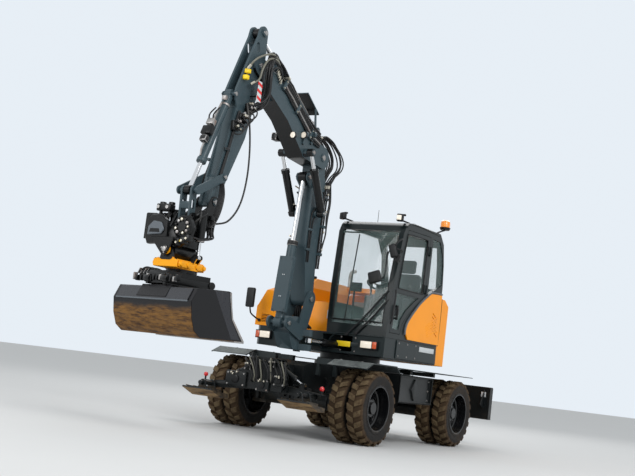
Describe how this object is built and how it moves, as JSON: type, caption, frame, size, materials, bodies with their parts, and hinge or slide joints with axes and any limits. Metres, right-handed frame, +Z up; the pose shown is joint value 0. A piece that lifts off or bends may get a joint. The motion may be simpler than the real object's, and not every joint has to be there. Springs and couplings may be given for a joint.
{
  "type": "wheeled excavator",
  "caption": "Wheeled excavator with twin tyres, swing post, folding boom, arm, tiltrotator and wide bucket, rear blade and front stabilisers; all joints move.",
  "frame": {"origin": "on the ground under the slewing axis", "axes": "+X forward towards the boom, +Y to the machine's left (cab side), +Z up"},
  "size_m": [7.2359, 2.48, 5.0299],
  "materials": {
    "slate": "satin",
    "black_paint": "satin",
    "orange_paint": "gloss",
    "tyre_rubber": "matt",
    "rim_paint": "satin",
    "chrome_rod": "polished",
    "clear_glass": "polished",
    "trim": "matt",
    "engine_iron": "matt"
  },
  "bodies": {
    "undercarriage": {"chassis_frame": "black_paint", "front_axle": "black_paint", "rear_axle": "black_paint", "front_fenders": "slate", "side_boxes": "black_paint"},
    "knuckle_left": {"knuckle_left": "black_paint"},
    "front_wheels_left": {"tyres_front_left": "tyre_rubber", "rims_front_left": "rim_paint"},
    "rear_wheels_left": {"tyres_rear_left": "tyre_rubber", "rims_rear_left": "rim_paint"},
    "knuckle_right": {"knuckle_right": "black_paint"},
    "front_wheels_right": {"tyres_front_right": "tyre_rubber", "rims_front_right": "rim_paint"},
    "rear_wheels_right": {"tyres_rear_right": "tyre_rubber", "rims_rear_right": "rim_paint"},
    "leg_left": {"leg_left": "slate"},
    "pad_left": {"pad_left": "black_paint"},
    "leg_barrel_left": {"leg_barrel_left": "black_paint"},
    "leg_rod_left": {"leg_rod_left": "chrome_rod"},
    "leg_right": {"leg_right": "slate"},
    "pad_right": {"pad_right": "black_paint"},
    "leg_barrel_right": {"leg_barrel_right": "black_paint"},
    "leg_rod_right": {"leg_rod_right": "chrome_rod"},
    "blade": {"dozer_blade": "black_paint"},
    "blade_barrels": {"blade_barrels": "black_paint"},
    "blade_rods": {"blade_rods": "chrome_rod"},
    "upper_body": {"platform": "black_paint", "cab_frame": "black_paint", "cab_glass": "clear_glass", "cab_interior": "trim", "engine_block": "engine_iron", "rear_hood": "orange_paint", "counterweight": "orange_paint", "right_cover": "orange_paint", "upper_fittings": "trim"},
    "door": {"cab_door": "black_paint", "door_glass": "clear_glass"},
    "swing_post": {"swing_post": "slate"},
    "swing_barrel": {"swing_barrel": "black_paint"},
    "swing_rod": {"swing_rod": "chrome_rod"},
    "lower_boom": {"lower_boom": "slate"},
    "lift_barrel": {"lift_barrel": "slate"},
    "lift_rod": {"lift_rod": "chrome_rod"},
    "knee_barrels": {"knee_barrels": "slate"},
    "knee_rods": {"knee_rods": "chrome_rod"},
    "upper_boom": {"upper_boom": "slate"},
    "arm_barrel": {"arm_barrel": "slate"},
    "arm_rod": {"arm_rod": "chrome_rod"},
    "arm": {"arm": "slate"},
    "bucket_barrel": {"bucket_barrel": "slate"},
    "bucket_rod": {"bucket_rod": "chrome_rod"},
    "rocker": {"rocker": "slate"},
    "h_link": {"h_link": "slate"},
    "tilt_head": {"tilt_head": "black_paint"},
    "tilt_rod_left": {"tilt_rod_left": "chrome_rod"},
    "tilt_rod_right": {"tilt_rod_right": "chrome_rod"},
    "tilt_frame": {"tilt_frame": "orange_paint"},
    "rotor": {"rotor_hitch": "black_paint", "bucket": "black_paint"}
  },
  "joints": [
    {"name": "steer_left", "type": "hinge", "parent": "undercarriage", "child": "knuckle_left", "pos_m": [1.254, 0.69, 0.4875], "axis": [0, 0, 1], "range_deg": [-27, 27]},
    {"name": "steer_right", "type": "hinge", "parent": "undercarriage", "child": "knuckle_right", "pos_m": [1.254, -0.69, 0.4875], "axis": [0, 0, 1], "range_deg": [-27.5, 27.5]},
    {"name": "roll_front_left", "type": "hinge", "parent": "knuckle_left", "child": "front_wheels_left", "pos_m": [1.254, 0.9675, 0.4875], "axis": [0, 1, 0], "continuous": true},
    {"name": "roll_rear_left", "type": "hinge", "parent": "undercarriage", "child": "rear_wheels_left", "pos_m": [-1.306, 0.9675, 0.4875], "axis": [0, 1, 0], "continuous": true},
    {"name": "roll_front_right", "type": "hinge", "parent": "knuckle_right", "child": "front_wheels_right", "pos_m": [1.254, -0.9675, 0.4875], "axis": [0, 1, 0], "continuous": true},
    {"name": "roll_rear_right", "type": "hinge", "parent": "undercarriage", "child": "rear_wheels_right", "pos_m": [-1.306, -0.9675, 0.4875], "axis": [0, 1, 0], "continuous": true},
    {"name": "leg_lower_left", "type": "hinge", "parent": "undercarriage", "child": "leg_left", "pos_m": [2.051, -0.25, 0.64], "axis": [-1, 0, 0], "range_deg": [0, 25]},
    {"name": "pad_level_left", "type": "hinge", "parent": "leg_left", "child": "pad_left", "pos_m": [2.051, 0.73977, 0.56], "axis": [-1, 0, 0], "range_deg": [-25.5, 0.5]},
    {"name": "leg_barrel_turn_left", "type": "hinge", "parent": "undercarriage", "child": "leg_barrel_left", "pos_m": [2.051, 0.11, 0.905], "axis": [-1, 0, 0], "range_deg": [-0.5, 30.33]},
    {"name": "leg_rod_slide_left", "type": "slide", "parent": "leg_barrel_left", "child": "leg_rod_left", "axis": [0, 0.8771, -0.4803], "range_m": [-0.004, 0.19245]},
    {"name": "leg_lower_right", "type": "hinge", "parent": "undercarriage", "child": "leg_right", "pos_m": [2.173, 0.25, 0.64], "axis": [1, 0, 0], "range_deg": [0, 25]},
    {"name": "pad_level_right", "type": "hinge", "parent": "leg_right", "child": "pad_right", "pos_m": [2.173, -0.73977, 0.56], "axis": [1, 0, 0], "range_deg": [-25.5, 0.5]},
    {"name": "leg_barrel_turn_right", "type": "hinge", "parent": "undercarriage", "child": "leg_barrel_right", "pos_m": [2.173, -0.11, 0.905], "axis": [1, 0, 0], "range_deg": [-0.5, 30.33]},
    {"name": "leg_rod_slide_right", "type": "slide", "parent": "leg_barrel_right", "child": "leg_rod_right", "axis": [0, -0.8771, -0.4803], "range_m": [-0.004, 0.19245]},
    {"name": "blade_lower", "type": "hinge", "parent": "undercarriage", "child": "blade", "pos_m": [-1.62, 0, 0.6], "axis": [0, -1, 0], "range_deg": [0, 35]},
    {"name": "blade_barrel_turn", "type": "hinge", "parent": "undercarriage", "child": "blade_barrels", "pos_m": [-1.66, 0, 0.935], "axis": [0, -1, 0], "range_deg": [-0.5, 28.09]},
    {"name": "blade_rod_slide", "type": "slide", "parent": "blade_barrels", "child": "blade_rods", "axis": [-0.9385, 0, -0.3453], "range_m": [-0.004, 0.19084]},
    {"name": "slew", "type": "hinge", "parent": "undercarriage", "child": "upper_body", "pos_m": [0, 0, 1.085], "axis": [0, 0, 1], "continuous": true},
    {"name": "door_open", "type": "hinge", "parent": "upper_body", "child": "door", "pos_m": [-0.012, 1.101, 2.2], "axis": [0, 0, 1], "range_deg": [0, 100]},
    {"name": "boom_swing", "type": "hinge", "parent": "upper_body", "child": "swing_post", "pos_m": [1.48, 0, 1.264], "axis": [0, 0, 1], "range_deg": [-60, 60]},
    {"name": "swing_barrel_turn", "type": "hinge", "parent": "upper_body", "child": "swing_barrel", "pos_m": [0.72, 0.42, 1.264], "axis": [0, 0, 1], "range_deg": [-0.67, 0.67]},
    {"name": "swing_rod_slide", "type": "slide", "parent": "swing_barrel", "child": "swing_rod", "axis": [0.9708, -0.2398, 0], "range_m": [-0.21448, 0.21448]},
    {"name": "boom_raise", "type": "hinge", "parent": "swing_post", "child": "lower_boom", "pos_m": [1.51, 0, 1.82], "axis": [0, -1, 0], "range_deg": [-55, 14]},
    {"name": "lift_barrel_turn", "type": "hinge", "parent": "swing_post", "child": "lift_barrel", "pos_m": [1.987, 0, 1.453], "axis": [0, -1, 0], "range_deg": [-48.04, 12.6]},
    {"name": "lift_rod_slide", "type": "slide", "parent": "lift_barrel", "child": "lift_rod", "axis": [-0.0853, 0, 0.9964], "range_m": [-0.5147, 0.134]},
    {"name": "knee_fold", "type": "hinge", "parent": "lower_boom", "child": "upper_boom", "pos_m": [1.6, 0, 3.74], "axis": [0, 1, 0], "range_deg": [-35, 20]},
    {"name": "knee_barrel_turn", "type": "hinge", "parent": "lower_boom", "child": "knee_barrels", "pos_m": [1.635, 0, 2.962], "axis": [0, -1, 0], "range_deg": [-5.89, 9.93]},
    {"name": "knee_rod_slide", "type": "slide", "parent": "knee_barrels", "child": "knee_rods", "axis": [0.5045, 0, 0.8634], "range_m": [-0.1401, 0.24217]},
    {"name": "arm_reach", "type": "hinge", "parent": "upper_boom", "child": "arm", "pos_m": [3.29, 0, 4.51], "axis": [0, -1, 0], "range_deg": [-28, 60]},
    {"name": "arm_barrel_turn", "type": "hinge", "parent": "upper_boom", "child": "arm_barrel", "pos_m": [1.75, 0, 4.07], "axis": [0, -1, 0], "range_deg": [-1.11, 1.81]},
    {"name": "arm_rod_slide", "type": "slide", "parent": "arm_barrel", "child": "arm_rod", "axis": [0.8638, 0, 0.5039], "range_m": [-0.43901, 0.207]},
    {"name": "bucket_curl", "type": "hinge", "parent": "arm", "child": "tilt_head", "pos_m": [3.83, 0, 2.69], "axis": [0, 1, 0], "range_deg": [-45, 60]},
    {"name": "rocker_turn", "type": "hinge", "parent": "arm", "child": "rocker", "pos_m": [3.74, 0, 3.01], "axis": [0, 1, 0], "range_deg": [-30.89, 41.02]},
    {"name": "link_turn", "type": "hinge", "parent": "rocker", "child": "h_link", "pos_m": [4.194, 0, 2.762], "axis": [0, 1, 0], "range_deg": [-28.4, 21.43]},
    {"name": "bucket_barrel_turn", "type": "hinge", "parent": "arm", "child": "bucket_barrel", "pos_m": [3.668, 0, 4.05], "axis": [0, -1, 0], "range_deg": [-12.44, 9.45]},
    {"name": "bucket_rod_slide", "type": "slide", "parent": "bucket_barrel", "child": "bucket_rod", "axis": [0.3781, 0, -0.9258], "range_m": [-0.15515, 0.20553]},
    {"name": "bucket_tilt", "type": "hinge", "parent": "tilt_head", "child": "tilt_frame", "pos_m": [4.19, 0, 2.03], "axis": [1, 0, 0], "range_deg": [-40, 40]},
    {"name": "tilt_rod_slide_left", "type": "slide", "parent": "tilt_head", "child": "tilt_rod_left", "axis": [0, 0, 1], "range_m": [-0.13577, 0.13577]},
    {"name": "tilt_rod_slide_right", "type": "slide", "parent": "tilt_head", "child": "tilt_rod_right", "axis": [0, 0, 1], "range_m": [-0.13577, 0.13577]},
    {"name": "bucket_turn", "type": "hinge", "parent": "tilt_frame", "child": "rotor", "pos_m": [4.13, 0, 1.8], "axis": [0, 0, 1], "continuous": true}
  ],
  "couplings": [
    {"joint": "steer_right", "follows": "steer_left", "ratio": 1},
    {"joint": "pad_level_left", "follows": "leg_lower_left", "ratio": -1},
    {"joint": "leg_barrel_turn_left", "follows": "leg_lower_left", "ratio": 1.1931},
    {"joint": "leg_rod_slide_left", "follows": "leg_lower_left", "m_per_rad": 0.43189},
    {"joint": "pad_level_right", "follows": "leg_lower_right", "ratio": -1},
    {"joint": "leg_barrel_turn_right", "follows": "leg_lower_right", "ratio": 1.1931},
    {"joint": "leg_rod_slide_right", "follows": "leg_lower_right", "m_per_rad": 0.43189},
    {"joint": "blade_barrel_turn", "follows": "blade_lower", "ratio": 0.78824},
    {"joint": "blade_rod_slide", "follows": "blade_lower", "m_per_rad": 0.30586},
    {"joint": "swing_barrel_turn", "follows": "boom_swing", "ratio": -0.00276},
    {"joint": "swing_rod_slide", "follows": "boom_swing", "m_per_rad": -0.20099},
    {"joint": "lift_barrel_turn", "follows": "boom_raise", "ratio": 0.86436},
    {"joint": "lift_rod_slide", "follows": "boom_raise", "m_per_rad": 0.53202},
    {"joint": "knee_barrel_turn", "follows": "knee_fold", "ratio": -0.26944},
    {"joint": "knee_rod_slide", "follows": "knee_fold", "m_per_rad": -0.38989},
    {"joint": "arm_barrel_turn", "follows": "arm_reach", "ratio": 0.02188},
    {"joint": "arm_rod_slide", "follows": "arm_reach", "m_per_rad": -0.4154},
    {"joint": "rocker_turn", "follows": "bucket_curl", "ratio": 0.67531},
    {"joint": "link_turn", "follows": "bucket_curl", "ratio": -0.465},
    {"joint": "bucket_barrel_turn", "follows": "bucket_curl", "ratio": -0.19896},
    {"joint": "bucket_rod_slide", "follows": "bucket_curl", "m_per_rad": 0.19245},
    {"joint": "tilt_rod_slide_left", "follows": "bucket_tilt", "m_per_rad": 0.18875},
    {"joint": "tilt_rod_slide_right", "follows": "bucket_tilt", "m_per_rad": -0.18875}
  ]
}
